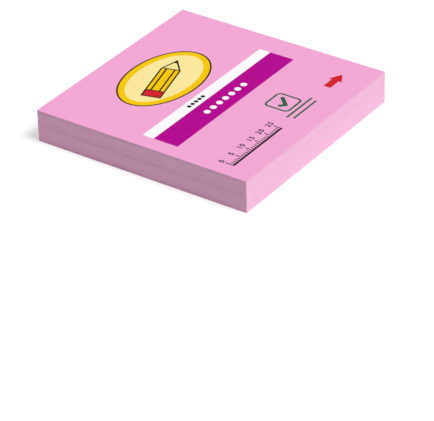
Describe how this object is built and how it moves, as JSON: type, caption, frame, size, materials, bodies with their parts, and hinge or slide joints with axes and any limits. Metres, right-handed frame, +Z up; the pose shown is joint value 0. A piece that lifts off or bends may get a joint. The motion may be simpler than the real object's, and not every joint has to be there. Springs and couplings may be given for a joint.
{
  "type": "sticky note pad",
  "caption": "Square pad of pink self-stick notes on a plain pink backing sheet, with a printed cover sheet. The sheets are held along one edge and peel off from the other.",
  "frame": {"origin": "centre of the underside of the backing sheet, where the pad rests on a desk", "axes": "+Z up through the sheets to the printed cover, +X along the print's reading direction, +Y towards the bonded edge, so that the free edge is at -Y"},
  "size_m": [0.076, 0.076, 0.0107],
  "materials": {
    "note_paper": "matte",
    "cover_paper": "matte",
    "backing_paper": "matte",
    "adhesive": "satin",
    "white_ink": "satin",
    "magenta_ink": "satin",
    "black_ink": "satin",
    "brown_ink": "satin",
    "yellow_ink": "satin",
    "cream_ink": "satin",
    "green_ink": "satin",
    "red_ink": "satin"
  },
  "bodies": {
    "root": {"backing_sheet": "backing_paper", "backing_adhesive": "adhesive", "note_block": "note_paper", "cover_adhesive": "adhesive", "cover_sheet": "cover_paper", "stripe_white": "white_ink", "stripe_magenta": "magenta_ink", "dots_black": "black_ink", "dots_white": "white_ink", "badge_outline": "brown_ink", "badge_ring": "yellow_ink", "badge_field": "cream_ink", "pencil_lines": "brown_ink", "pencil_eraser": "red_ink", "pencil_body": "yellow_ink", "pencil_wood": "cream_ink", "scale_marks": "black_ink", "tick_box": "green_ink", "rule_lines": "green_ink", "arrow_mark": "red_ink"}
  },
  "joints": []
}
